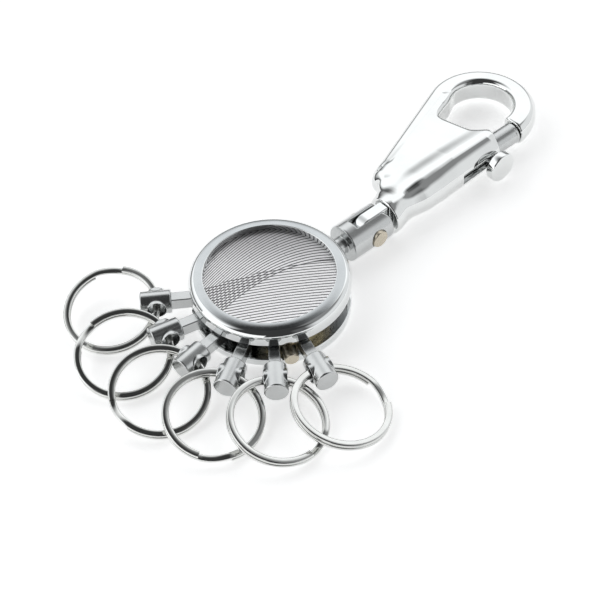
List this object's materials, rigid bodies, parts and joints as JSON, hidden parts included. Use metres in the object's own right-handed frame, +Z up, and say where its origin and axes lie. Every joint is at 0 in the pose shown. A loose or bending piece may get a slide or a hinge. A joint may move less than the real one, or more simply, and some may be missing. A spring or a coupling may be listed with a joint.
{
  "type": "key organiser",
  "caption": "Round metal key organiser: split rings on removable holders round a grooved body, with a push-button gate and a folding, swivelling bolt-snap carabiner.",
  "frame": {"origin": "centre of the body's flat underside", "axes": "+Z up out of the inlay face, +Y along the long axis from the body to the carabiner, key rings towards -Y"},
  "size_m": [0.0725, 0.1291, 0.0103],
  "materials": {
    "chrome_case": "mirror-polished chrome plate",
    "chrome_snap": "mirror-polished chrome plate",
    "satin_holder": "fine-turned chrome plate",
    "ring_steel": "bright nickel plate on spring steel",
    "warm_nickel": "unpolished nickel",
    "core_metal": "dull nickel over brass",
    "inlay_print": "satin disc with fine dark engine-turned lines",
    "inner_steel": "plain steel",
    "spring_steel": "spring wire"
  },
  "bodies": {
    "body": {"base_plate": "chrome_case", "groove_core": "core_metal", "cover_plate": "inner_steel", "bezel": "chrome_case", "inlay_disc": "inlay_print", "case_screws": "inner_steel", "button_spring": "spring_steel", "clevis": "satin_holder", "clevis_pin": "warm_nickel"},
    "release_button": {"release_button": "warm_nickel"},
    "swivel_link": {"swivel_link": "chrome_case"},
    "carabiner": {"carabiner_body": "chrome_snap", "plunger_spring": "spring_steel"},
    "plunger": {"plunger": "satin_holder", "thumb_knob": "chrome_snap"},
    "holder_1": {"holder_1": "satin_holder"},
    "split_ring_1": {"split_ring_1": "ring_steel"},
    "holder_2": {"holder_2": "satin_holder"},
    "split_ring_2": {"split_ring_2": "ring_steel"},
    "holder_3": {"holder_3": "satin_holder"},
    "split_ring_3": {"split_ring_3": "ring_steel"},
    "holder_4": {"holder_4": "satin_holder"},
    "split_ring_4": {"split_ring_4": "ring_steel"},
    "holder_5": {"holder_5": "satin_holder"},
    "split_ring_5": {"split_ring_5": "ring_steel"},
    "holder_6": {"holder_6": "satin_holder"},
    "split_ring_6": {"split_ring_6": "ring_steel"}
  },
  "joints": [
    {"name": "release_button_press", "type": "slide", "parent": "body", "child": "release_button", "axis": [-0.891, 0.454, 0], "range_m": [0, 0.0038], "stiffness_N_per_m": 400, "springref_m": -0.004},
    {"name": "carabiner_fold", "type": "hinge", "parent": "body", "child": "swivel_link", "pos_m": [0, 0.0273, 0.0044], "axis": [1, 0, 0], "range_deg": [-90, 90]},
    {"name": "carabiner_swivel", "type": "hinge", "parent": "swivel_link", "child": "carabiner", "pos_m": [0, 0.0326, 0.0044], "axis": [0, 1, 0], "continuous": true},
    {"name": "plunger_slide", "type": "slide", "parent": "carabiner", "child": "plunger", "axis": [0, -1, 0], "range_m": [0, 0.0075], "stiffness_N_per_m": 300, "springref_m": -0.005},
    {"name": "holder_1_travel", "type": "hinge", "parent": "body", "child": "holder_1", "pos_m": [0, 0, 0.0044], "axis": [0, 0, 1], "range_deg": [-55, 0]},
    {"name": "split_ring_1_swing", "type": "hinge", "parent": "holder_1", "child": "split_ring_1", "pos_m": [-0.01411, -0.01942, 0.0044], "axis": [-0.8021, 0.5537, 0.2237], "range_deg": [-25, 25]},
    {"name": "holder_2_travel", "type": "hinge", "parent": "body", "child": "holder_2", "pos_m": [0, 0, 0.0044], "axis": [0, 0, 1], "range_deg": [-55, 0]},
    {"name": "split_ring_2_swing", "type": "hinge", "parent": "holder_2", "child": "split_ring_2", "pos_m": [-0.00581, -0.02329, 0.0044], "axis": [-0.9511, 0.2129, 0.2237], "range_deg": [-25, 25]},
    {"name": "holder_3_travel", "type": "hinge", "parent": "body", "child": "holder_3", "pos_m": [0, 0, 0.0044], "axis": [0, 0, 1], "range_deg": [-55, 0]},
    {"name": "split_ring_3_swing", "type": "hinge", "parent": "holder_3", "child": "split_ring_3", "pos_m": [0.00334, -0.02377, 0.0044], "axis": [-0.9616, -0.1589, 0.2237], "range_deg": [-25, 25]},
    {"name": "holder_4_travel", "type": "hinge", "parent": "body", "child": "holder_4", "pos_m": [0, 0, 0.0044], "axis": [0, 0, 1], "range_deg": [-55, 0]},
    {"name": "split_ring_4_swing", "type": "hinge", "parent": "holder_4", "child": "split_ring_4", "pos_m": [0.012, -0.02078, 0.0044], "axis": [-0.8321, -0.5075, 0.2237], "range_deg": [-25, 25]},
    {"name": "holder_5_travel", "type": "hinge", "parent": "body", "child": "holder_5", "pos_m": [0, 0, 0.0044], "axis": [0, 0, 1], "range_deg": [-55, 0]},
    {"name": "split_ring_5_swing", "type": "hinge", "parent": "holder_5", "child": "split_ring_5", "pos_m": [0.01891, -0.01478, 0.0044], "axis": [-0.5814, -0.7823, 0.2237], "range_deg": [-25, 25]},
    {"name": "holder_6_travel", "type": "hinge", "parent": "body", "child": "holder_6", "pos_m": [0, 0, 0.0044], "axis": [0, 0, 1], "range_deg": [0, 55]},
    {"name": "split_ring_6_swing", "type": "hinge", "parent": "holder_6", "child": "split_ring_6", "pos_m": [0.02307, -0.00662, 0.0044], "axis": [-0.246, -0.9431, 0.2237], "range_deg": [-25, 25]}
  ],
  "couplings": [
    {"joint": "holder_2_travel", "follows": "holder_1_travel", "ratio": 1},
    {"joint": "holder_3_travel", "follows": "holder_1_travel", "ratio": 1},
    {"joint": "holder_4_travel", "follows": "holder_1_travel", "ratio": 1},
    {"joint": "holder_5_travel", "follows": "holder_1_travel", "ratio": 1},
    {"joint": "split_ring_2_swing", "follows": "split_ring_1_swing", "ratio": 1},
    {"joint": "split_ring_3_swing", "follows": "split_ring_1_swing", "ratio": 1},
    {"joint": "split_ring_4_swing", "follows": "split_ring_1_swing", "ratio": 1},
    {"joint": "split_ring_5_swing", "follows": "split_ring_1_swing", "ratio": 1},
    {"joint": "split_ring_6_swing", "follows": "split_ring_1_swing", "ratio": 1}
  ]
}
